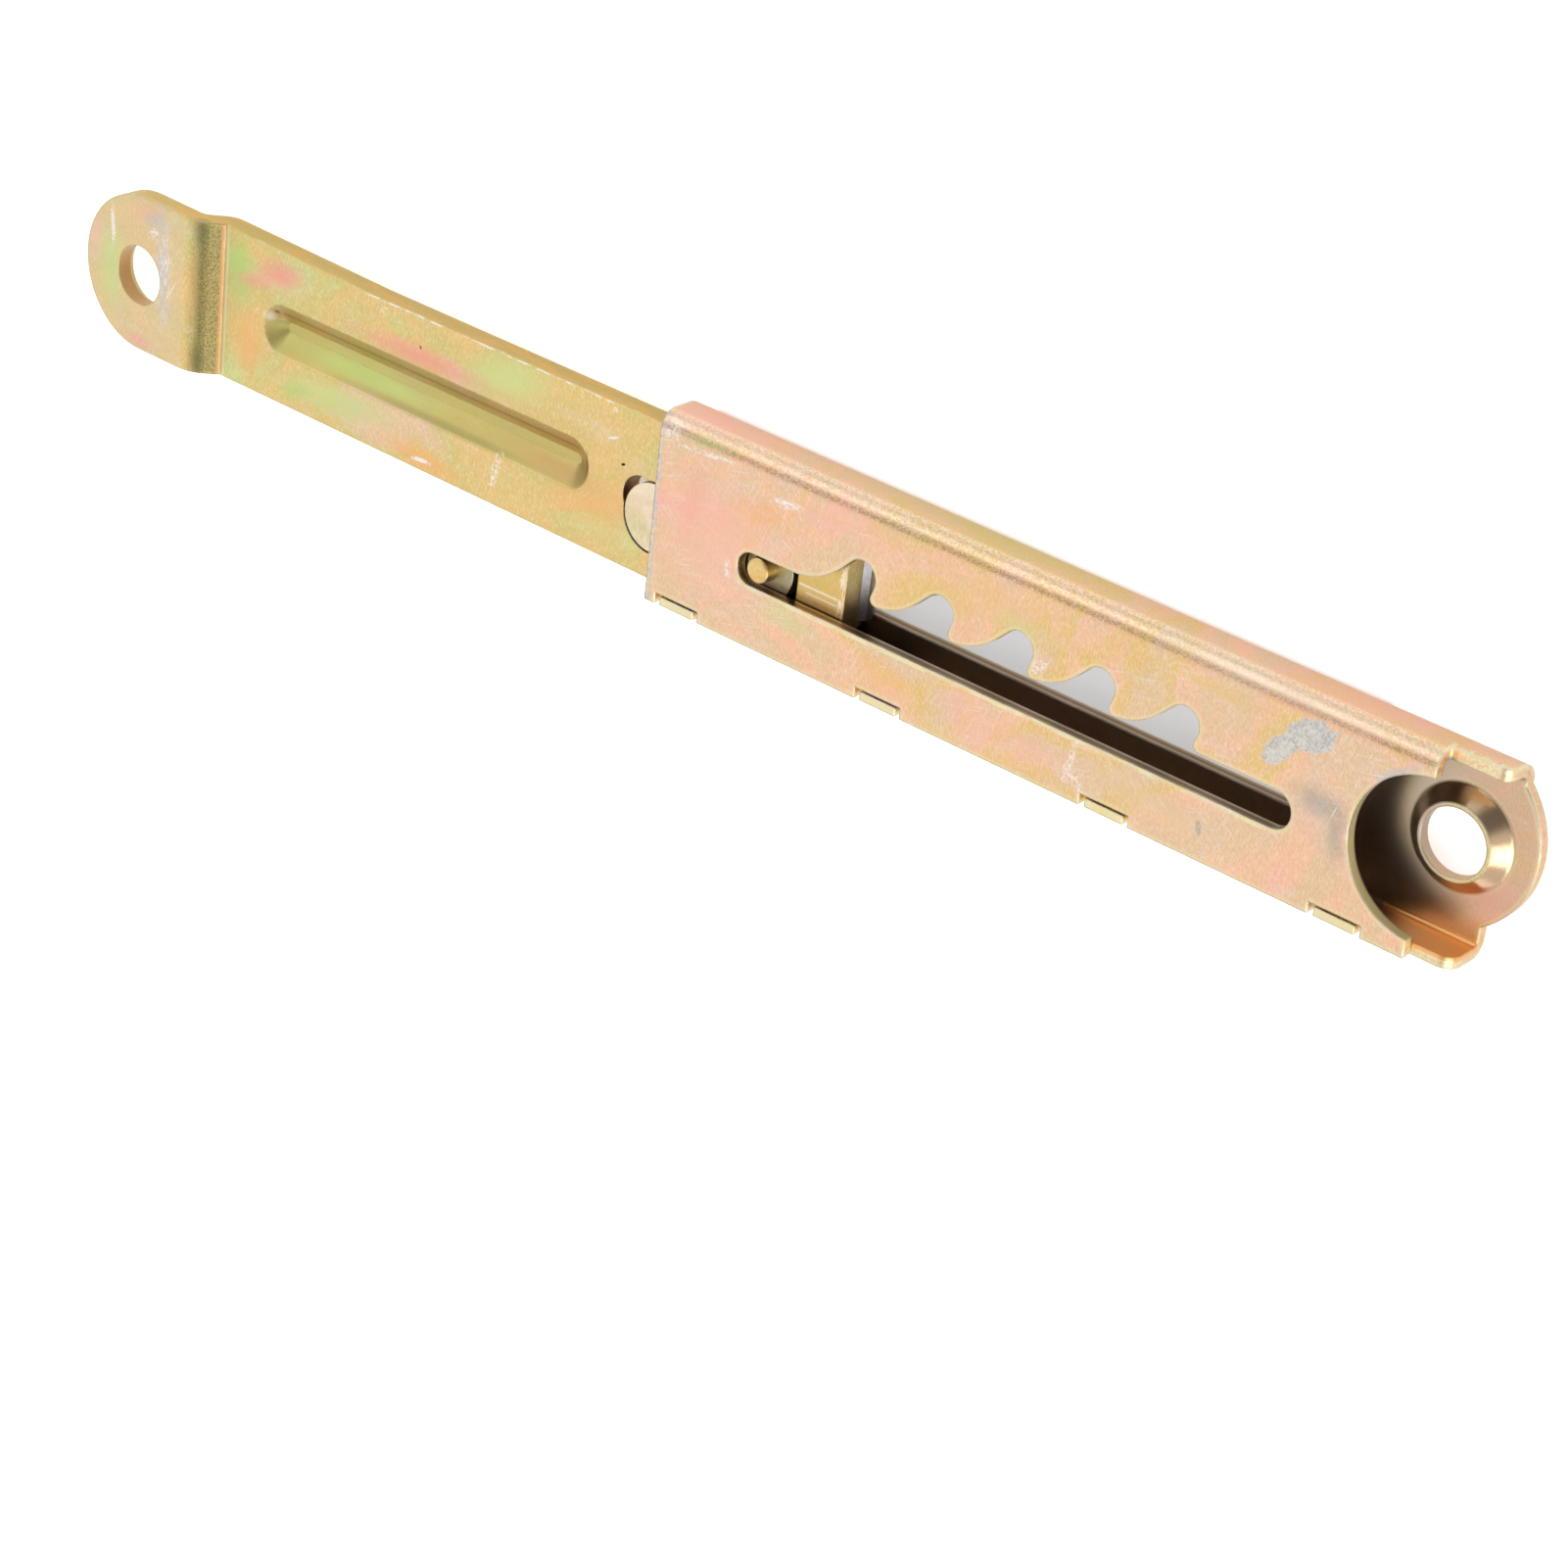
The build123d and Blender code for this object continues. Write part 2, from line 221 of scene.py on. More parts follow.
class Surface(Canvas):
    """A metal surface while it is being finished: its colour, roughness and relief so far."""

    def __init__(self, name: str, ground: Tone, roughness: float, edge_mm: float) -> None:
        """Start the bare metal.

        Args:
            name: the material's name.
            ground: the colour that everything else is laid on.
            roughness: the roughness that everything else is laid on.
            edge_mm: the radius of the sharp edges.
        """
        super().__init__(name)
        self.rounded = add_node(
            self.tree, "ShaderNodeBevel", {"samples": 4}, {"Radius": edge_mm * MM}
        ).outputs[0]
        self.colour: Any = linear(ground.value)
        self.roughness: Any = roughness
        self.relief: Any = 0.0

    def lay(self, tone: Tone, mask: Any, roughness: Optional[float] = None) -> None:
        """Lay a film, a painted shade or a painted highlight over the colour so far.

        Args:
            tone: its colour.
            mask: where and how strongly it lies.
            roughness: its roughness, where it has one of its own.
        """
        self.colour = add_node(
            self.tree, "ShaderNodeMix", {"data_type": "RGBA"},
            {0: mask, 6: self.colour, 7: linear(tone.value)},
        ).outputs[2]
        if roughness is not None:
            self.roughness = add_node(
                self.tree, "ShaderNodeMix", {}, {0: mask, 2: self.roughness, 3: roughness}
            ).outputs[0]

    def close(self, depth_mm: float) -> bpy.types.Material:
        """Join the colour, roughness and relief to the shader.

        Args:
            depth_mm: the relief's depth.

        Returns:
            The material.
        """
        bump = add_node(
            self.tree, "ShaderNodeBump", {},
            {"Height": self.relief, "Distance": depth_mm * MM, "Strength": 1.0,
             "Normal": self.rounded},
        )
        shader = add_node(
            self.tree, "ShaderNodeBsdfPrincipled", {},
            {"Base Color": self.colour, "Roughness": self.roughness, "Metallic": 1.0,
             "Normal": bump.outputs[0]},
        )
        add_node(self.tree, "ShaderNodeOutputMaterial", {}, {"Surface": shader.outputs[0]})
        return self.material


@dataclass(frozen=True)
class Blot:
    """An uneven rounded place, in millimetres of the part with heights from the back plane."""

    at: Triple
    reach: Triple
    turn_deg: float = 0.0
    ragged: float = 0.0
    soft: float = 0.9

    def mask(self, canvas: Canvas, strength: float) -> Socket:
        """Give its mask.

        Args:
            canvas: the material that it lies on.
            strength: the mask's value in its middle.

        Returns:
            The mask's socket.
        """
        place = add_node(
            canvas.tree, "ShaderNodeMapping", {"vector_type": "TEXTURE"},
            {"Vector": canvas.point, "Location": self.at,
             "Rotation": (0.0, 0.0, math.radians(self.turn_deg)), "Scale": self.reach},
        )
        away = add_node(
            canvas.tree, "ShaderNodeVectorMath", {"operation": "LENGTH"}, {0: place.outputs[0]}
        )
        edge = away.outputs["Value"]
        if self.ragged:
            # Noise averages a half, so twice its level moves the edge by the raggedness
            torn = canvas.mottle(min(self.reach[:2]) * TEAR_SHARE, sum(self.at), detail=4.0)
            edge = add_node(
                canvas.tree, "ShaderNodeMath", {"operation": "MULTIPLY_ADD"},
                {0: torn, 1: 2.0 * self.ragged, 2: edge},
            ).outputs[0]
        return add_node(
            canvas.tree, "ShaderNodeMapRange", SMOOTH,
            {"Value": edge, "From Min": 1.0 + self.ragged,
             "From Max": 1.0 + self.ragged - self.soft, "To Max": strength},
        ).outputs[0]


@dataclass(frozen=True)
class Zone:
    """A box of the part, or its faces that lean one way, in the same millimetres."""

    low: Triple
    high: Triple
    fade_mm: float = 0.2
    faces: Faces = Faces.ANY
    long_fade_mm: Optional[float] = None

    def mask(self, canvas: Canvas, strength: float) -> Socket:
        """Give its mask, which fades inwards from the box's sides, along X more slowly if asked.

        Args:
            canvas: the material that it lies on.
            strength: the mask's value inside.

        Returns:
            The mask's socket.
        """
        tree = canvas.tree
        middle = tuple((a + b) / 2 for a, b in zip(self.low, self.high))
        half = tuple((b - a) / 2 for a, b in zip(self.low, self.high))
        fades = (self.long_fade_mm or self.fade_mm, self.fade_mm, self.fade_mm)
        away = add_node(
            tree, "ShaderNodeVectorMath", {"operation": "SUBTRACT"}, {0: canvas.point, 1: middle}
        )
        span = add_node(
            tree, "ShaderNodeVectorMath", {"operation": "ABSOLUTE"}, {0: away.outputs[0]}
        )
        beyond = add_node(
            tree, "ShaderNodeVectorMath", {"operation": "SUBTRACT"}, {0: span.outputs[0], 1: half}
        )
        share = add_node(
            tree, "ShaderNodeVectorMath", {"operation": "DIVIDE"}, {0: beyond.outputs[0], 1: fades}
        )
        axes = add_node(tree, "ShaderNodeSeparateXYZ", {}, {0: share.outputs[0]})
        most = axes.outputs[0]
        for axis in axes.outputs[1:3]:
            most = add_node(
                tree, "ShaderNodeMath", {"operation": "MAXIMUM"}, {0: most, 1: axis}
            ).outputs[0]
        inside = add_node(
            tree, "ShaderNodeMapRange", SMOOTH,
            {"Value": most, "From Min": 0.0, "From Max": -1.0, "To Max": strength},
        ).outputs[0]
        if self.faces is Faces.ANY:
            return inside
        turn = add_node(tree, "ShaderNodeSeparateXYZ", {}, {0: canvas.normal})
        upward = add_node(tree, "ShaderNodeMath", {"operation": "ABSOLUTE"}, {0: turn.outputs[2]})
        begins, whole, still_whole, ended = self.faces.value
        for start, full in ((begins, whole), (ended, still_whole)):
            leaning = add_node(
                tree, "ShaderNodeMapRange", SMOOTH,
                {"Value": upward.outputs[0], "From Min": start, "From Max": full},
            )
            inside = add_node(
                tree, "ShaderNodeMath", {"operation": "MULTIPLY"},
                {0: inside, 1: leaning.outputs[0]},
            ).outputs[0]
        return inside


@dataclass(frozen=True)
class Edges:
    """The strip along the sharp edges, whole or rubbed in patches.

    It begins and is whole where the rounded normal has turned so far from the face's own. No
    reach stands for the radius that the edges already have.
    """

    begins: float
    whole: float
    reach_mm: float = 0.0
    patch_mm: float = 0.0
    patch_share: float = 0.5

    def mask(self, surface: Surface, strength: float) -> Socket:
        """Give its mask.

        Args:
            surface: the surface that it lies on.
            strength: the mask's value on the edge.

        Returns:
            The mask's socket.
        """
        rounded = surface.rounded
        if self.reach_mm:
            rounded = add_node(
                surface.tree, "ShaderNodeBevel", {"samples": 4}, {"Radius": self.reach_mm * MM}
            ).outputs[0]
        same = add_node(
            surface.tree, "ShaderNodeVectorMath", {"operation": "DOT_PRODUCT"},
            {0: rounded, 1: surface.normal},
        )
        along = add_node(
            surface.tree, "ShaderNodeMapRange", SMOOTH,
            {"Value": same.outputs["Value"], "From Min": 1 - self.begins,
             "From Max": 1 - self.whole, "To Max": strength},
        ).outputs[0]
        if not self.patch_mm:
            return along
        limit = PATCH_NONE + (PATCH_ALL - PATCH_NONE) * self.patch_share
        rubbed = add_node(
            surface.tree, "ShaderNodeMapRange", SMOOTH,
            {"Value": surface.mottle(self.patch_mm, PATCH_SEED, detail=4.0), "From Min": limit,
             "From Max": limit + PATCH_SOFT},
        )
        return add_node(
            surface.tree, "ShaderNodeMath", {"operation": "MULTIPLY"},
            {0: along, 1: rubbed.outputs[0]},
        ).outputs[0]


@dataclass(frozen=True)
class Hairlines:
    """Scattered thin scratches in one direction, inside a zone.

    Real ones are a few hundredths of a millimetre wide, drawn here as coarse as they need to show.
    """

    turn_deg: float
    length_mm: float
    where: Zone
    width_mm: float = 0.06
    share: float = 0.3
    cluster_mm: float = 11.0

    def mask(self, surface: Surface, strength: float) -> Socket:
        """Give their mask.

        Args:
            surface: the surface that they lie on.
            strength: the mask's value in a scratch.

        Returns:
            The mask's socket.
        """
        limit = SCRATCH_RARE - SCRATCH_SPAN * self.share
        stretch = (self.length_mm, self.width_mm, self.length_mm)
        thin = add_node(
            surface.tree, "ShaderNodeMapRange", SMOOTH,
            {"Value": surface.mottle(1.0, self.turn_deg, stretch, 1.0, self.turn_deg),
             "From Min": limit, "From Max": limit + SCRATCH_SOFT},
        )
        crowd = add_node(
            surface.tree, "ShaderNodeMapRange", SMOOTH,
            {"Value": surface.mottle(self.cluster_mm, self.turn_deg + CROWD_SEED, detail=1.0),
             "From Min": CROWD_LEVELS[0], "From Max": CROWD_LEVELS[1]},
        )
        both = add_node(
            surface.tree, "ShaderNodeMath", {"operation": "MULTIPLY"},
            {0: thin.outputs[0], 1: crowd.outputs[0]},
        )
        return add_node(
            surface.tree, "ShaderNodeMath", {"operation": "MULTIPLY"},
            {0: both.outputs[0], 1: self.where.mask(surface, strength)},
        ).outputs[0]


@dataclass(frozen=True)
class FilmOrPaintedLight:
    """One film, stain, bare place, painted shade or painted highlight: where it lies, its colour,
    and its grain if it has one.
    """

    where: Union[Blot, Zone, Edges, Hairlines]
    tone: Tone
    strength: float = 1.0
    grain_mm: float = 0.0
    grain_stretch: Triple = (1.0, 1.0, 1.0)
    roughness: Optional[float] = None
    groove: float = 0.0

    def lay(self, surface: Surface) -> None:
        """Lay it on a surface.

        Args:
            surface: the surface that gets it.
        """
        mask = self.where.mask(surface, self.strength)
        if self.grain_mm:
            speckle = add_node(
                surface.tree, "ShaderNodeMapRange", SMOOTH,
                {"Value": surface.mottle(self.grain_mm, SPECKLE_SEED, self.grain_stretch, 2.0),
                 "From Min": SPECKLE_LEVELS[0], "From Max": SPECKLE_LEVELS[1]},
            )
            mask = add_node(
                surface.tree, "ShaderNodeMath", {"operation": "MULTIPLY"},
                {0: mask, 1: speckle.outputs[0]},
            ).outputs[0]
        surface.lay(self.tone, mask, self.roughness)
        if self.groove:
            surface.relief = add_node(
                surface.tree, "ShaderNodeMath", {"operation": "MULTIPLY_ADD"},
                {0: mask, 1: -self.groove, 2: surface.relief},
            ).outputs[0]


@dataclass(frozen=True)
class YellowZinc:
    """Zinc plating with a yellow chromate film, on rolled sheet.

    It gives the eye a satin metal whose colour drifts between pink, gold and green with the film's
    thickness, with a fine sparkle of the sheet's grain, and white zinc where it is rubbed. The real
    grain is under a tenth of a millimetre, and is drawn as coarse as it needs to show.
    """

    name: str
    clouds: tuple[Tone, ...]
    cloud_mm: float
    seed: float
    # The films include painted shade and painted highlights
    films: tuple[FilmOrPaintedLight, ...] = ()
    roughness: float = 0.36
    grain_mm: float = 0.3
    edge_mm: float = 0.25
    relief_mm: float = 0.006

    def make(self) -> bpy.types.Material:
        """Build the material.

        Returns:
            The material.
        """
        surface = Surface(self.name, self.clouds[0], self.roughness, self.edge_mm)

        # The film's thickness drifts over the dipped piece, and each thickness has its colour
        drift = surface.mottle(self.cloud_mm, self.seed, (1.2, 1.0, 1.0), 3.0, curl=0.8)
        band = add_node(surface.tree, "ShaderNodeValToRGB", {}, {"Fac": drift})
        stops = band.color_ramp.elements
        spread = (CLOUD_LEVELS[1] - CLOUD_LEVELS[0]) / (len(self.clouds) - 1)
        for k, tone in enumerate(self.clouds):
            level = CLOUD_LEVELS[0] + k * spread
            stop = stops[k] if k < 2 else stops.new(level)
            stop.position = level
            stop.color = linear(tone.value)
        surface.colour = band.outputs[0]

        # Short pale streaks where the piece drained, which are also a little duller
        streak = surface.mottle(
            self.cloud_mm * STREAK_SHARE, self.seed + STREAK_SEED, (3.0, 0.8, 1.0), 4.0
        )
        pale = add_node(
            surface.tree, "ShaderNodeMapRange", SMOOTH,
            {"Value": streak, "From Min": STREAK_LEVELS[0], "From Max": STREAK_LEVELS[1],
             "To Max": STREAK_STRENGTH},
        )
        surface.lay(Tone.CREAM, pale.outputs[0])
        low, high = SHEEN_SPREAD
        surface.roughness = add_node(
            surface.tree, "ShaderNodeMapRange", {},
            {"Value": streak, "From Min": SHEEN_LEVELS[0], "From Max": SHEEN_LEVELS[1],
             "To Min": self.roughness + low, "To Max": self.roughness + high},
        ).outputs[0]

        # The grain of the rolled sheet, with its dull specks and its glints
        grain = surface.mottle(self.grain_mm, self.seed + GRAIN_SEED, (0.7, 1.9, 1.0), 2.0)
        dull = add_node(
            surface.tree, "ShaderNodeMapRange", {},
            {"Value": grain, "From Min": SPECK_LEVELS[0], "From Max": SPECK_LEVELS[1],
             "To Min": SPECK_STRENGTH, "To Max": 0.0},
        )
        surface.lay(Tone.TAUPE, dull.outputs[0])
        glint = add_node(
            surface.tree, "ShaderNodeMapRange", {},
            {"Value": grain, "From Min": GLINT_LEVELS[0], "From Max": GLINT_LEVELS[1],
             "To Max": GLINT_STRENGTH},
        )
        surface.lay(Tone.CREAM, glint.outputs[0])
        surface.relief = grain
        for film in self.films:
            film.lay(surface)
        return surface.close(self.relief_mm)


@dataclass(frozen=True)
class SpringSteel:
    """Bare rolled spring steel: smooth and grey with a lilac cast, and faint lines of its rolling.

    The real lines are finer, and are drawn as coarse as they need to show.
    """

    name: str
    roughness: float = 0.42
    line_mm: float = 0.5
    line_stretch: Triple = (14.0, 1.0, 1.0)
    edge_mm: float = 0.1
    relief_mm: float = 0.004

    def make(self) -> bpy.types.Material:
        """Build the material.

        Returns:
            The material.
        """
        surface = Surface(self.name, Tone.LEAD, self.roughness, self.edge_mm)
        surface.relief = surface.mottle(self.line_mm, 1.0, self.line_stretch, 2.0)
        surface.lay(Tone.LILAC, surface.relief)
        return surface.close(self.relief_mm)


# Places of the sleeve. The bend has only its box's two corners, for the painted shade and painted
# highlight on parts of it
SLEEVE_TOP = Zone((2.0, -9.5, 7.6), (114.5, 13.6, 8.4))
SLEEVE_BEND = ((-7.0, -12.2, 5.2), (114.5, -9.2, 8.2))
# The sleeve's inside, which takes painted shade
SLEEVE_CORE_SHADE = Zone((-3.0, -11.0, 1.2), (124.0, 12.5, 6.8), 0.15, long_fade_mm=9.0)
SLOT_CUTS = Zone((17.0, -5.0, -0.2), (103.0, 6.0, 8.2), 0.1, Faces.WALL)
BITE_CUTS = Zone((-1.0, -9.4, 6.2), (11.2, 12.3, 8.2), 0.1, Faces.WALL)
LIP_CUTS = Zone((-7.0, -12.3, 4.4), (1.9, -9.9, 8.1), 0.1)
LUG_CUTS = Zone((-5.0, 12.1, 4.4), (1.9, 13.8, 7.2), 0.1)
BOSS_CONE = Zone((-6.9, -6.9, 1.5), (6.9, 6.9, 3.5), 0.1, Faces.BEND)
TAB_XS = (109.2, 76.6, 42.5, 10.3)
BARE_PATCHES = (
    Blot((17.3, -7.5, 8.0), (3.7, 2.1, 3.0), 22.0, 0.45, 0.18),
    Blot((21.0, -4.3, 8.0), (3.0, 1.5, 3.0), 52.0, 0.4, 0.18),
)

SLEEVE_ZINC = YellowZinc(
    name="yellow_passivated_zinc_sleeve",
    clouds=(Tone.PINK, Tone.SALMON, Tone.TAN, Tone.SALMON, Tone.GOLD, Tone.TAN),
    cloud_mm=18.0,
    seed=4.0,
    edge_mm=0.4,
    films=(
        # Broad colours of the sleeve's walls and front
        FilmOrPaintedLight(Blot((68.0, -12.0, 3.0), (34.0, 3.0, 4.5), soft=1.1), Tone.YELLOW, 0.75),
        FilmOrPaintedLight(Blot((110.0, -12.0, 5.0), (16.0, 3.0, 7.0), soft=1.0), Tone.PINK, 0.8),
        FilmOrPaintedLight(Blot((12.0, -12.0, 4.0), (18.0, 3.0, 7.0), soft=1.0), Tone.PINK, 0.5),
        FilmOrPaintedLight(Blot((64.0, -6.0, 8.0), (15.0, 3.5, 3.0), 6.0), Tone.GOLD, 0.4),
        FilmOrPaintedLight(Blot((36.0, 9.0, 8.0), (17.0, 3.0, 3.0), -5.0), Tone.TAN, 0.6),
        FilmOrPaintedLight(Blot((58.0, -5.0, 8.0), (5.0, 2.0, 3.0)), Tone.LEAF, 0.4),
        FilmOrPaintedLight(Blot((97.0, -4.5, 8.0), (8.0, 3.4, 3.0), 12.0), Tone.ORANGE, 0.55),
        FilmOrPaintedLight(Blot((92.0, 7.4, 8.0), (7.0, 2.6, 3.0), -5.0), Tone.LEAF, 0.4),
        FilmOrPaintedLight(Blot((76.0, 9.2, 8.0), (6.0, 3.4, 3.0)), Tone.ORANGE, 0.4),
        FilmOrPaintedLight(Blot((64.0, 8.0, 8.0), (5.0, 5.0, 3.0)), Tone.PINK, 0.6),
        FilmOrPaintedLight(Blot((20.0, -11.0, 8.0), (10.0, 2.0, 3.0)), Tone.ROSE, 0.45),
        FilmOrPaintedLight(Blot((108.0, -2.0, 8.0), (3.0, 7.0, 3.0), -6.0), Tone.ROSE, 0.35),
        FilmOrPaintedLight(Zone((-16.0, -12.0, 1.3), (12.0, 12.5, 2.0), 0.1), Tone.TAUPE, 0.35),
        FilmOrPaintedLight(Blot((30.0, -8.2, 8.0), (9.0, 1.6, 3.0)), Tone.GOLD, 0.5),
        FilmOrPaintedLight(Blot((104.0, 1.0, 8.0), (14.0, 13.0, 3.0)), Tone.PINK, 0.6),
        FilmOrPaintedLight(Blot((85.0, -8.0, 8.0), (14.0, 3.0, 3.0), 4.0), Tone.PINK, 0.5),
        FilmOrPaintedLight(Blot((56.0, 10.0, 8.0), (12.0, 4.0, 3.0)), Tone.PINK, 0.45),
        # A drawn line beside the bend, and on the bend a painted reflection in a stretched grain:
        # painted shade where it leaves the flat, a painted highlight further round
        FilmOrPaintedLight(Zone((3.0, -8.12, 7.9), (105.0, -7.88, 8.1), 0.1), Tone.GOLD, 0.8),
        FilmOrPaintedLight(Zone(*SLEEVE_BEND, 0.3, Faces.SHOULDER), Tone.UMBER, 0.4, 0.2, (2.0, 1.0, 1.0)),
        FilmOrPaintedLight(Zone(*SLEEVE_BEND, 0.3, Faces.BEND), Tone.CREAM, 0.75, 0.2, (2.0, 1.0, 1.0)),
        FilmOrPaintedLight(Blot((106.5, -10.4, 8.0), (6.0, 1.4, 2.0), 3.0, 0.3), Tone.GREEN, 0.85, 0.35),
        # Cut faces, thinly plated and a little duller than the rolled ones, with painted shade
        # darkening the slot's walls and a painted highlight paling the bite's
        FilmOrPaintedLight(SLOT_CUTS, Tone.UMBER, 0.85),
        FilmOrPaintedLight(BITE_CUTS, Tone.STRAW, 1.0, roughness=0.6),
        FilmOrPaintedLight(LIP_CUTS, Tone.STRAW, 0.85, 0.4, (1.0, 1.0, 4.0)),
        FilmOrPaintedLight(LUG_CUTS, Tone.STRAW, 0.8, 0.4, (1.0, 1.0, 4.0)),
        *(
            FilmOrPaintedLight(Zone((x - 3.1, 12.0, 6.0), (x + 3.1, 13.8, 8.1), 0.1), Tone.STRAW, 0.6)
            for x in TAB_XS
        ),
        # The boss: a smooth cone with a hammered rim
        FilmOrPaintedLight(BOSS_CONE, Tone.TAN, 0.9, roughness=0.14),
        FilmOrPaintedLight(Blot((0.0, 0.0, 3.5), (5.7, 5.7, 0.6), soft=0.2), Tone.AMBER, 0.7, roughness=0.3),
        FilmOrPaintedLight(Blot((0.0, 0.0, 3.5), (5.7, 5.7, 0.6), soft=0.2), Tone.UMBER, 0.5, 0.22),
        # Pale film along the edges, partly a painted highlight, and bare metal where they rub
        FilmOrPaintedLight(Edges(0.001, 0.05, reach_mm=1.0), Tone.STRAW, 0.8),
        # The slot's lower rim, painted pale as a highlight
        FilmOrPaintedLight(
            Zone((19.0, 4.7, 7.8), (101.0, 6.1, 8.1), 0.1, long_fade_mm=2.0),
            Tone.STRAW, 0.7, 0.6, (4.0, 1.0, 1.0),
        ),
        FilmOrPaintedLight(Edges(0.01, 0.1, patch_mm=2.4, patch_share=0.7), Tone.WHITE, 0.9),
        FilmOrPaintedLight(
            Zone((113.5, -12.6, 6.4), (115.0, 14.6, 8.4), 0.2),
            Tone.LILAC, 0.9, 0.3, (1.0, 2.0, 1.0),
        ),
        # Painted shade darkening the inside, and a painted reflection of warm light making the seam
        # wall amber at its open end
        FilmOrPaintedLight(SLEEVE_CORE_SHADE, Tone.DUN, 0.9, roughness=0.3),
        FilmOrPaintedLight(Blot((-4.0, 5.5, 1.5), (7.5, 6.0, 1.5), -30.0, 0.2, 1.1), Tone.ROSE, 0.45),
        FilmOrPaintedLight(Zone((-6.0, 11.3, 1.2), (8.0, 12.6, 6.6), 0.2), Tone.ORANGE, 1.0, roughness=0.3),
        # Worn white at the mouth's corner and at the channel's end
        FilmOrPaintedLight(Blot((112.6, -10.2, 8.0), (2.6, 1.8, 2.0), 30.0, 0.9, 0.9), Tone.WHITE, 0.9, 0.3),
        FilmOrPaintedLight(Blot((101.6, 4.6, 8.0), (0.8, 2.0, 2.0), 10.0, 0.9, 0.9), Tone.WHITE, 0.8, 0.3),
        # The bare patch by the bite, blotched and specked, and the smear beside it
        *(FilmOrPaintedLight(patch, Tone.ZINC, 0.92, roughness=0.48) for patch in BARE_PATCHES),
        *(FilmOrPaintedLight(patch, Tone.LEAD, 0.35, 1.3) for patch in BARE_PATCHES),
        *(FilmOrPaintedLight(patch, Tone.WHITE, 0.4, 0.3) for patch in BARE_PATCHES),
        FilmOrPaintedLight(Blot((14.5, 1.0, 8.0), (6.5, 5.5, 3.0), 0.0, 0.4, 1.4), Tone.LILAC, 0.45),
        FilmOrPaintedLight(Blot((14.4, -0.2, 8.0), (5.5, 2.6, 3.0), -6.0, 0.4, 1.4), Tone.LEAD, 0.75),
        FilmOrPaintedLight(Blot((12.0, 2.6, 8.0), (2.2, 5.5, 3.0), 8.0, 0.4, 1.4), Tone.LEAD, 0.75),
        # A painted highlight on the bend towards its end, and grey wear between the bite and the
        # lip
        FilmOrPaintedLight(Blot((22.0, -11.2, 8.0), (24.0, 1.5, 2.0)), Tone.CREAM, 0.6),
        FilmOrPaintedLight(Blot((6.2, -7.4, 8.0), (4.5, 0.9, 3.0), 38.0, 0.8, 1.0), Tone.LILAC, 0.8),
        # Scuffs
        FilmOrPaintedLight(
            Blot((93.6, -7.2, 8.0), (3.0, 1.0, 2.0), 6.0, 0.9, 0.9),
            Tone.WHITE, 0.95, 0.35, (1.6, 0.8, 1.0),
        ),
        FilmOrPaintedLight(Blot((54.2, -1.1, 8.0), (1.9, 1.2, 2.0), 40.0, 0.9, 0.9), Tone.WHITE, 0.75, 0.3),
        FilmOrPaintedLight(
            Blot((48.0, 8.6, 8.0), (0.9, 3.8, 2.0), -8.0, 1.3, 0.9),
            Tone.WHITE, 0.8, 0.4, (0.7, 1.8, 1.0),
        ),
        FilmOrPaintedLight(Blot((46.6, 11.0, 8.0), (3.2, 0.8, 2.0), -40.0, 1.3, 0.9), Tone.WHITE, 0.8, 0.4),
        FilmOrPaintedLight(Blot((29.5, 9.4, 8.0), (0.5, 1.1, 2.0), 10.0, 0.7, 0.5), Tone.LEAD, 0.6),
        FilmOrPaintedLight(Blot((106.5, -9.0, 8.0), (6.0, 0.4, 2.0), 5.0, 0.9, 0.5), Tone.WHITE, 0.8, 0.4),
        FilmOrPaintedLight(Hairlines(14.0, 5.0, SLEEVE_TOP, share=0.9), Tone.WHITE, 0.75, groove=0.5),
        FilmOrPaintedLight(Hairlines(-38.0, 3.5, SLEEVE_TOP, share=0.8), Tone.WHITE, 0.75, groove=0.5),
        FilmOrPaintedLight(Hairlines(71.0, 3.0, SLEEVE_TOP, share=0.8), Tone.WHITE, 0.75, groove=0.5),
    ),
)

# Places of the bar. The step has only its box's two corners, for films on parts of it
BAR_TOP = Zone((114.0, -9.6, 6.0), (194.0, 12.0, 6.5))
EAR_TOP = Zone((199.0, -11.0, 9.0), (219.0, 12.0, 9.5))
BAR_SIDE = Zone((80.0, -11.0, 2.0), (220.0, -9.3, 9.3), 0.2, Faces.WALL)
EAR_HOLE = Zone((203.4, -3.7, 6.0), (212.4, 5.3, 9.4), 0.1, Faces.WALL)
STEP_UP = ((194.3, -12.0, 5.9), (199.6, 13.0, 9.3))

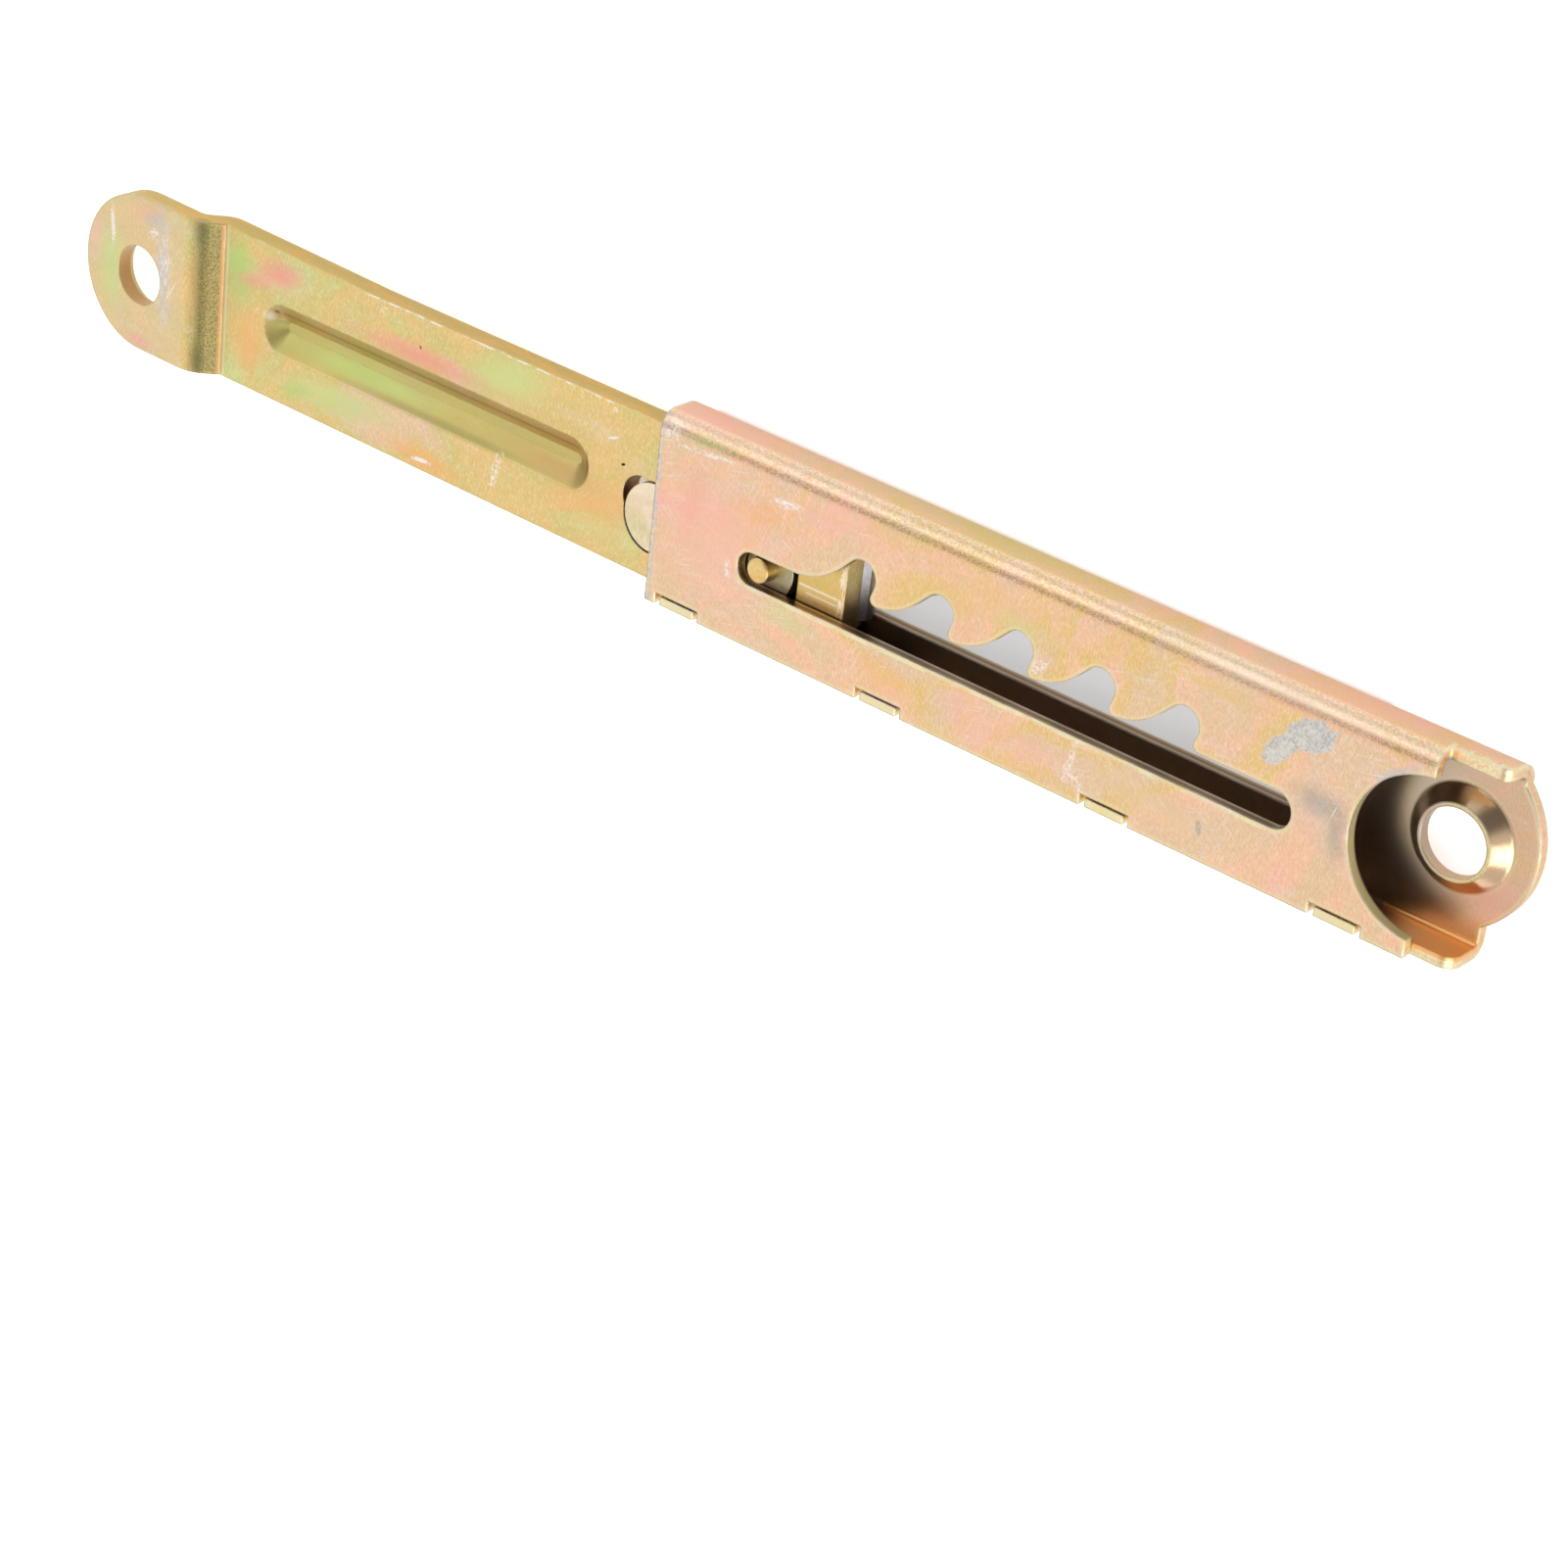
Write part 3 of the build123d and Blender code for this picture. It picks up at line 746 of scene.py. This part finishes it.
BAR_ZINC = YellowZinc(
    name="yellow_passivated_zinc_bar",
    clouds=(Tone.LEAF, Tone.YELLOW, Tone.GOLD, Tone.YELLOW, Tone.TAN),
    cloud_mm=20.0,
    seed=11.0,
    films=(
        # Broad colours of the bar
        FilmOrPaintedLight(Blot((125.0, 5.0, 6.2), (13.0, 8.0, 4.0)), Tone.ORANGE, 0.5),
        FilmOrPaintedLight(Blot((156.0, 9.8, 6.2), (10.0, 2.6, 3.0), -4.0), Tone.ORANGE, 0.7),
        FilmOrPaintedLight(Blot((189.5, 5.5, 6.2), (5.5, 6.5, 3.0)), Tone.ORANGE, 0.6),
        FilmOrPaintedLight(Blot((142.0, -6.2, 6.2), (11.0, 4.4, 3.0), 12.0), Tone.LEAF, 0.85),
        FilmOrPaintedLight(Blot((191.5, -5.0, 6.2), (4.0, 7.5, 3.0)), Tone.GREEN, 0.8),
        FilmOrPaintedLight(Blot((172.0, 7.4, 6.2), (15.0, 3.2, 3.0), 5.0), Tone.LEAF, 0.8),
        FilmOrPaintedLight(Blot((180.0, 8.8, 6.2), (5.0, 1.8, 3.0), 20.0), Tone.GREEN, 0.5),
        FilmOrPaintedLight(Blot((157.5, -3.9, 6.2), (17.0, 2.5, 3.0), 0.0, 0.2, 1.1), Tone.ROSE, 0.9),
        FilmOrPaintedLight(Blot((183.5, -6.4, 6.2), (7.5, 3.4, 3.0), 8.0, 0.2, 1.1), Tone.ROSE, 0.95),
        FilmOrPaintedLight(Blot((188.5, -4.2, 6.2), (6.0, 1.9, 3.0), 14.0, 0.2, 1.1), Tone.ROSE, 0.7),
        FilmOrPaintedLight(BAR_SIDE, Tone.AMBER, 0.85),
        FilmOrPaintedLight(BAR_SIDE, Tone.OLIVE, 0.5, 1.6, (4.0, 1.0, 1.0)),
        # The groove: a copper upper slope with a dark line at its foot, both painted shade, a lower
        # one from copper to green, and at its ends a painted highlight and painted shade
        FilmOrPaintedLight(Zone((126.0, -4.4, 3.0), (187.6, 0.9, 6.6), 1.6), Tone.COPPER, 0.4),
        FilmOrPaintedLight(Zone((127.2, -1.3, 4.0), (186.0, -0.55, 5.4), 0.3), Tone.UMBER, 0.5),
        FilmOrPaintedLight(Zone((127.0, 0.3, 4.0), (186.6, 5.0, 6.17), 0.2), Tone.OLIVE, 0.8),
        FilmOrPaintedLight(Zone((127.0, -1.3, 4.0), (186.6, 0.5, 4.6), 0.2), Tone.OLIVE, 0.5),
        FilmOrPaintedLight(Blot((168.0, 2.4, 5.2), (19.0, 2.4, 1.8)), Tone.GREEN, 0.7),
        FilmOrPaintedLight(Blot((152.0, 4.2, 5.8), (28.0, 0.9, 1.2)), Tone.MOSS, 0.35),
        FilmOrPaintedLight(Blot((133.0, 3.2, 5.2), (14.0, 3.0, 1.6)), Tone.COPPER, 0.5),
        # Painted highlight and painted shade at the groove's end by the ear
        FilmOrPaintedLight(Blot((185.6, 0.0, 6.0), (1.5, 1.1, 1.0)), Tone.CREAM, 0.95),
        FilmOrPaintedLight(Blot((184.5, -0.9, 5.8), (0.7, 0.5, 1.0)), Tone.UMBER, 0.8),
        # Painted shade along the groove's other end
        FilmOrPaintedLight(Blot((127.6, 0.4, 6.0), (0.5, 2.4, 1.0)), Tone.UMBER, 0.8),
        # The step up to the ear: rougher, darker than the flats and grainy
        FilmOrPaintedLight(Zone(*STEP_UP, 0.6, Faces.BEND), Tone.OLIVE, 0.8, roughness=0.45),
        FilmOrPaintedLight(Zone(*STEP_UP, 0.5, Faces.BEND), Tone.MOSS, 0.6),
        FilmOrPaintedLight(Zone(*STEP_UP, 0.5, Faces.BEND), Tone.UMBER, 0.65, 0.2, (0.7, 1.5, 1.0)),
        FilmOrPaintedLight(Blot((197.0, -9.0, 8.0), (1.8, 3.4, 1.6)), Tone.MOSS, 0.55),
        FilmOrPaintedLight(Blot((197.0, 9.6, 8.0), (1.8, 3.8, 1.6)), Tone.MOSS, 0.6),
        # The wall of the pawl's socket, painted dark as shade, and the two ends of the step
        FilmOrPaintedLight(Zone((114.0, -3.6, 3.0), (122.0, 9.6, 6.1), 0.1, Faces.WALL), Tone.UMBER, 0.9),
        FilmOrPaintedLight(
            Zone((197.0, -12.0, 7.6), (202.6, 13.0, 9.4), 1.4, Faces.SHOULDER),
            Tone.UMBER, 0.5, 0.24,
        ),
        FilmOrPaintedLight(Zone((194.0, -12.0, 5.9), (195.0, 13.0, 7.1), 0.3), Tone.COPPER, 0.7),
        FilmOrPaintedLight(Zone((193.6, -12.0, 6.0), (194.35, 13.0, 6.5), 0.15), Tone.STRAW, 0.7),
        # The ear: pink and green towards its rim, worn grey bands beside the hole
        FilmOrPaintedLight(Blot((217.0, -3.0, 9.2), (2.6, 4.0, 2.0)), Tone.PINK, 0.8),
        FilmOrPaintedLight(Blot((207.5, 10.4, 9.2), (4.0, 1.8, 2.0)), Tone.ROSE, 0.8),
        FilmOrPaintedLight(Blot((206.5, -8.8, 9.2), (5.0, 2.0, 2.0), 8.0), Tone.ROSE, 0.4),
        FilmOrPaintedLight(Zone((199.0, -14.0, 8.4), (222.0, 15.0, 10.0), 0.4), Tone.TAN, 0.3),
        FilmOrPaintedLight(Zone((199.0, -14.0, 8.4), (222.0, 15.0, 10.0), 0.4), Tone.ZINC, 0.12),
        FilmOrPaintedLight(Blot((213.5, 1.0, 9.2), (4.0, 9.0, 2.0)), Tone.LEAF, 0.8),
        FilmOrPaintedLight(Blot((203.2, -1.0, 9.2), (1.9, 10.5, 2.0), 2.0, 0.8, 1.2), Tone.LILAC, 0.85),
        FilmOrPaintedLight(
            Blot((203.0, -1.0, 9.2), (2.4, 12.0, 2.0), 2.0, 0.8, 1.2),
            Tone.WHITE, 0.7, 0.3, (0.6, 2.4, 1.0),
        ),
        FilmOrPaintedLight(Blot((204.6, -8.0, 9.2), (3.2, 2.8, 2.0), 20.0, 0.9, 1.4), Tone.LILAC, 0.8),
        FilmOrPaintedLight(Blot((205.4, -6.0, 9.2), (1.8, 1.0, 2.0), 40.0, 1.1, 0.9), Tone.WHITE, 0.9, 0.25),
        FilmOrPaintedLight(Blot((213.4, -4.8, 9.2), (0.5, 3.0, 2.0), 6.0, 1.2, 0.6), Tone.WHITE, 0.8),
        FilmOrPaintedLight(Blot((201.6, 1.2, 9.2), (0.16, 2.4, 2.0), -32.0, 0.6, 0.4), Tone.CREAM, 0.8),
        FilmOrPaintedLight(EAR_HOLE, Tone.COPPER, 0.75, roughness=0.26),
        # Pale film along the edges, partly a painted highlight, and bare metal where they rub
        FilmOrPaintedLight(Edges(0.003, 0.12, reach_mm=0.8), Tone.YELLOW, 0.4),
        FilmOrPaintedLight(Edges(0.01, 0.1, patch_mm=2.6, patch_share=0.4), Tone.WHITE, 0.7),
        # The bridge, rubbed by the pawl and the sleeve
        FilmOrPaintedLight(Zone((82.0, -5.0, 6.0), (93.6, 7.0, 6.6), 0.2), Tone.AMBER, 0.5),
        FilmOrPaintedLight(
            Zone((84.7, -5.0, 6.0), (85.7, 7.0, 6.6), 0.15),
            Tone.CREAM, 0.95, 0.3, (1.0, 4.0, 1.0),
        ),
        FilmOrPaintedLight(Zone((85.6, 2.9, 6.0), (91.8, 3.3, 6.6), 0.12), Tone.CREAM, 0.85),
        FilmOrPaintedLight(Zone((85.6, 3.8, 6.0), (90.6, 4.1, 6.6), 0.1), Tone.CREAM, 0.8),
        FilmOrPaintedLight(
            Zone((122.0, -9.45, 6.0), (170.0, -9.1, 6.4), 0.12),
            Tone.WHITE, 0.9, 0.7, (3.0, 1.0, 1.0),
        ),
        # Scuffs and pits
        FilmOrPaintedLight(Blot((121.4, -1.8, 6.2), (0.42, 0.2, 1.0), 20.0, 0.3, 0.3), Tone.SOOT, 1.0),
        FilmOrPaintedLight(Blot((157.4, -5.2, 6.2), (0.22, 0.35, 1.0), 0.0, 0.3, 0.4), Tone.UMBER, 0.8),
        FilmOrPaintedLight(Blot((123.6, -8.4, 6.2), (0.6, 0.5, 1.0), 0.0, 1.0, 0.5), Tone.WHITE, 0.9, 0.3),
        FilmOrPaintedLight(Blot((123.4, -4.7, 6.2), (1.2, 0.22, 1.0), 20.0, 0.8, 0.4), Tone.WHITE, 0.8),
        FilmOrPaintedLight(Blot((164.2, -8.1, 6.2), (0.9, 0.5, 1.0), 30.0, 1.0, 0.5), Tone.WHITE, 0.9, 0.3),
        FilmOrPaintedLight(
            Blot((142.8, 7.0, 6.2), (0.9, 3.4, 1.0), -12.0, 1.3, 0.8),
            Tone.WHITE, 0.85, 0.3, (0.7, 1.6, 1.0),
        ),
        FilmOrPaintedLight(Blot((156.0, 10.2, 6.2), (2.0, 0.4, 1.0), 5.0, 0.9, 0.5), Tone.WHITE, 0.9),
        FilmOrPaintedLight(Hairlines(8.0, 6.0, BAR_TOP, share=0.4), Tone.CREAM, 0.7, groove=0.5),
        FilmOrPaintedLight(Hairlines(44.0, 3.0, BAR_TOP, share=0.2), Tone.WHITE, 0.7, groove=0.5),
        FilmOrPaintedLight(
            Hairlines(60.0, 4.0, EAR_TOP, share=0.7, cluster_mm=6.0),
            Tone.WHITE, 0.8, groove=0.5,
        ),
        FilmOrPaintedLight(
            Hairlines(-20.0, 3.0, EAR_TOP, share=0.5, cluster_mm=6.0),
            Tone.WHITE, 0.8, groove=0.5,
        ),
    ),
)

PAWL_ZINC = YellowZinc(
    name="yellow_passivated_zinc_pawl",
    clouds=(Tone.YELLOW, Tone.CREAM, Tone.TAN),
    cloud_mm=8.0,
    seed=2.0,
    roughness=0.38,
    films=(
        FilmOrPaintedLight(Blot((118.0, 0.6, 6.2), (4.5, 2.4, 3.0)), Tone.CREAM, 0.5),
        FilmOrPaintedLight(Blot((118.0, 6.2, 6.2), (4.5, 3.4, 3.0)), Tone.OLIVE, 0.4, 0.5, (0.6, 3.0, 1.0)),
        # Painted shade on the pawl around the pin and under the sleeve
        FilmOrPaintedLight(Zone((88.0, -6.0, 2.0), (110.0, 9.0, 6.6), 0.2, long_fade_mm=4.0), Tone.MOSS, 0.6),
        FilmOrPaintedLight(Blot((119.0, 5.5, 6.2), (3.5, 3.5, 3.0)), Tone.LEAF, 0.35),
        # Pale edges, partly a painted highlight
        FilmOrPaintedLight(Edges(0.01, 0.1), Tone.STRAW, 0.6),
    ),
)

PIN_ZINC = YellowZinc(
    name="yellow_passivated_zinc_pin",
    clouds=(Tone.AMBER, Tone.GOLD, Tone.YELLOW),
    cloud_mm=3.0,
    seed=7.0,
    # Pale rim on the edges, partly a painted highlight
    films=(FilmOrPaintedLight(Edges(0.01, 0.1), Tone.CREAM, 0.8),),
)

LEAF_STEEL = SpringSteel(name="bare_spring_steel")


Finish = Union[YellowZinc, SpringSteel]


def dress(node: str, finish: Finish) -> None:
    """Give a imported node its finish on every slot, and leave its shape alone.

    Args:
        node: the node's name.
        finish: what it gets.
    """
    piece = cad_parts[node]
    material = finish.make()
    if not piece.material_slots:
        piece.data.materials.append(material)
    for slot in piece.material_slots:
        slot.material = material
    LOG.info("dressed %s with %s", node, material.name)


@dataclass
class FoldedSleeve:
    """The folded sheet sleeve with its slots, tabs and raised boss."""

    node: str = "sheath"
    finish: YellowZinc = SLEEVE_ZINC

    def build(self) -> None:
        """Dress the sleeve."""
        dress(self.node, self.finish)


@dataclass
class SlidingBar:
    """The flat bar with its raised ear, and the friction leaf under its bridge."""

    bar: str = "arm"
    bar_finish: YellowZinc = BAR_ZINC
    leaf: str = "friction_spring"
    leaf_finish: SpringSteel = LEAF_STEEL

    def build(self) -> None:
        """Dress the bar and its leaf."""
        dress(self.bar, self.bar_finish)
        dress(self.leaf, self.leaf_finish)


@dataclass
class Latch:
    """The pawl in the bar's socket, with its pin."""

    pawl: str = "pawl"
    pawl_finish: YellowZinc = PAWL_ZINC
    pin: str = "latch_pin"
    pin_finish: YellowZinc = PIN_ZINC

    def build(self) -> None:
        """Dress the pawl and its pin."""
        dress(self.pawl, self.pawl_finish)
        dress(self.pin, self.pin_finish)


# The floor's parts under the object, given a painted shadow by a dimmer glow, which show through
# the sleeve's slots and beside the pawl's head
UNDER_SLEEVE_SHADOW = Zone((12.0, -11.5, -1.0), (112.5, 13.0, 1.0), 0.9)
UNDER_BAR_SHADOW = Zone((112.0, -5.0, -1.0), (128.0, 10.0, 1.0), 0.9)


@dataclass(frozen=True)
class Paper:
    """Matt white paper for the floor.

    It gives the eye plain white, greyer under the object partly by a painted shadow, and metal sees
    it as a pale ground.
    """

    name: str = "matt_white_paper"
    open_glow: float = 0.74
    shaded_glow: float = 0.36
    mirror_glow: float = 0.4
    grey: float = 0.8

    def make(self) -> bpy.types.Material:
        """Build the material.

        Returns:
            The material.
        """
        paper = Canvas(self.name)
        tree = paper.tree
        path = add_node(tree, "ShaderNodeLightPath", {}, {})
        shaded = add_node(
            tree, "ShaderNodeMath", {"operation": "MAXIMUM"},
            {0: UNDER_SLEEVE_SHADOW.mask(paper, 1.0), 1: UNDER_BAR_SHADOW.mask(paper, 1.0)},
        )
        seen = add_node(
            tree, "ShaderNodeMix", {},
            {0: shaded.outputs[0], 2: self.open_glow, 3: self.shaded_glow},
        )
        reflected = add_node(
            tree, "ShaderNodeMath", {"operation": "MAXIMUM"},
            {0: path.outputs["Is Glossy Ray"], 1: path.outputs["Is Transmission Ray"]},
        )
        mirrored = add_node(
            tree, "ShaderNodeMath", {"operation": "MULTIPLY"},
            {0: reflected.outputs[0], 1: self.mirror_glow},
        )
        level = add_node(
            tree, "ShaderNodeMix", {},
            {0: path.outputs["Is Camera Ray"], 2: mirrored.outputs[0], 3: seen.outputs[0]},
        )
        glow = add_node(tree, "ShaderNodeEmission", {}, {"Strength": level.outputs[0]})
        matt = add_node(tree, "ShaderNodeBsdfDiffuse", {}, {"Color": (self.grey,) * 3 + (1.0,)})
        both = add_node(tree, "ShaderNodeAddShader", {}, {0: glow.outputs[0], 1: matt.outputs[0]})
        add_node(tree, "ShaderNodeOutputMaterial", {}, {"Surface": both.outputs[0]})
        return paper.material


@dataclass(frozen=True)
class Panel:
    """One brighter or darker part of the light tent: its direction, its spread and its level."""

    towards: Triple
    inner_deg: float
    outer_deg: float
    level: float


@dataclass
class Studio:
    """A pale floor, a light tent all round, and a camera at the photograph's viewing angle."""

    floor_side: float = 4.0
    paper: Paper = Paper()
    tent_level: float = 0.84
    panels: tuple[Panel, ...] = (
        # Over the flat faces, over the bend, over the boss's cone, and the gap at the camera
        Panel((0.54, 0.47, 0.70), 16.0, 36.0, 1.35),
        Panel((0.54, -0.62, 0.57), 12.0, 28.0, 1.7),
        Panel((-0.74, 0.40, 0.54), 12.0, 26.0, 3.6),
        Panel((-0.46, -0.56, 0.69), 14.0, 34.0, 0.2),
    )
    lens_mm: float = 94.06
    sensor_mm: float = 36.0
    clip_from: float = 0.01
    eye: Triple = (-0.18321, -0.20669, 0.36408)
    right: Triple = (-0.75533465, -0.10477432, -0.64690951)
    down: Triple = (-0.37485672, 0.87877573, 0.29535683)
    ahead: Triple = (0.53754256, 0.46559163, -0.70304511)

    def floor(self) -> None:
        """Lay the pale floor, which shows as white and keeps the object's shadow."""
        shape = bmesh.new()
        bmesh.ops.create_grid(shape, x_segments=1, y_segments=1, size=self.floor_side / 2)
        bmesh.ops.translate(shape, verts=shape.verts, vec=(0.0, 0.0, BACK_Z))
        mesh = bpy.data.meshes.new("floor")
        shape.to_mesh(mesh)
        shape.free()
        mesh.materials.append(self.paper.make())
        floor = bpy.data.objects.new("floor", mesh)
        bpy.context.scene.collection.objects.link(floor)

    def tent(self) -> None:
        """Light the room with the tent's panels, and show it white to the camera."""
        world = bpy.data.worlds.new("light_tent")
        bpy.context.scene.world = world
        world.use_nodes = True
        tree = world.node_tree
        tree.nodes.clear()
        towards = add_node(tree, "ShaderNodeTexCoord", {}, {}).outputs["Object"]
        level: Any = self.tent_level
        for panel in self.panels:
            near = add_node(
                tree, "ShaderNodeVectorMath", {"operation": "DOT_PRODUCT"},
                {0: towards, 1: Vector(panel.towards).normalized()},
            )
            outer, inner = (
                math.cos(math.radians(turn)) for turn in (panel.outer_deg, panel.inner_deg)
            )
            inside = add_node(
                tree, "ShaderNodeMapRange", SMOOTH,
                {"Value": near.outputs["Value"], "From Min": outer, "From Max": inner},
            )
            level = add_node(
                tree, "ShaderNodeMix", {}, {0: inside.outputs[0], 2: level, 3: panel.level}
            ).outputs[0]
        path = add_node(tree, "ShaderNodeLightPath", {}, {})
        shown = add_node(
            tree, "ShaderNodeMix", {}, {0: path.outputs["Is Camera Ray"], 2: level, 3: 1.0}
        )
        back = add_node(tree, "ShaderNodeBackground", {}, {"Strength": shown.outputs[0]})
        add_node(tree, "ShaderNodeOutputWorld", {}, {"Surface": back.outputs[0]})

    def camera(self) -> None:
        """Stand the camera where the photograph was taken from."""
        data = bpy.data.cameras.new("camera")
        data.lens = self.lens_mm
        data.sensor_width = self.sensor_mm
        data.clip_start = self.clip_from
        axes = (Vector(self.right), -Vector(self.down), -Vector(self.ahead))
        turn = Matrix(axes).transposed().to_4x4()
        place = Matrix.Translation(Vector(self.eye) + Vector((0.0, 0.0, BACK_Z)))
        camera = bpy.data.objects.new("camera", data)
        camera.matrix_world = place @ turn
        bpy.context.scene.collection.objects.link(camera)
        bpy.context.scene.camera = camera

    def build(self) -> None:
        """Set up the floor, the light and the camera."""
        self.floor()
        self.tent()
        self.camera()
        bpy.context.scene.view_settings.view_transform = "Standard"


def main() -> None:
    """Build the classes in order."""
    logging.basicConfig(level=logging.INFO)
    for assembly in (FoldedSleeve(), SlidingBar(), Latch(), Studio()):
        assembly.build()
        LOG.info("built %s", type(assembly).__name__)


if __name__ == "__main__":
    main()
